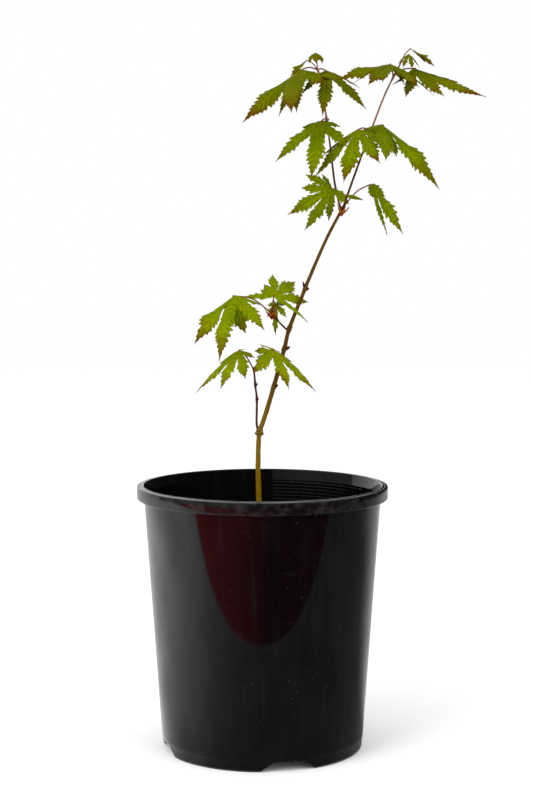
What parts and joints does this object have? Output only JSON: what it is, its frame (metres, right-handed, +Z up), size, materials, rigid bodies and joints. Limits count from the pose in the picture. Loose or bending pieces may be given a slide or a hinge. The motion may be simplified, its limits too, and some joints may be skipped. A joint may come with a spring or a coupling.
{
  "type": "potted japanese maple sapling",
  "caption": "Young, leaning Japanese maple with a slender forked stem, small side twigs and drooping palmate leaves, in a tall black nursery pot with a turned-down rim and a notched foot.",
  "frame": {"origin": "centre of the pot's flat underside, on the surface that it stands on", "axes": "+Z up along the pot's axis; +X the way the stem leans; the plant is seen best from -Y"},
  "size_m": [0.2753, 0.2, 0.5564],
  "materials": {
    "black_plastic": "smooth black moulded plastic with a soft gloss",
    "potting_mix": "rough, crumbly bark and peat",
    "olive_bark": "smooth olive-brown young bark",
    "red_bark": "smooth red-purple new growth",
    "green_leaf": "soft, slightly waxy yellow-green leaf",
    "tinted_leaf": "yellow-green leaf with red-brown teeth and tips"
  },
  "bodies": {
    "root": {"pot": "black_plastic", "soil": "potting_mix", "trunk": "olive_bark", "left_shoot": "red_bark", "right_shoot": "red_bark", "low_twig": "red_bark", "middle_twig": "red_bark", "leaf_low_left": "green_leaf", "leaf_low_right": "tinted_leaf", "leaf_middle_left": "tinted_leaf", "leaf_middle_star": "green_leaf", "leaf_fork_left": "green_leaf", "leaf_fork_right": "green_leaf", "leaf_left_middle": "green_leaf", "leaf_right_middle_front": "tinted_leaf", "leaf_right_middle_back": "green_leaf", "leaf_left_top_outer": "tinted_leaf", "leaf_left_top_inner": "green_leaf", "leaf_right_top_front": "tinted_leaf", "leaf_right_top_back": "tinted_leaf", "leaf_middle_hanging": "green_leaf", "leaf_left_tip_cap": "green_leaf", "leaf_left_tip_fold": "green_leaf", "leaf_right_tip_fold": "tinted_leaf", "leaf_right_tip_cap": "green_leaf"}
  },
  "joints": []
}
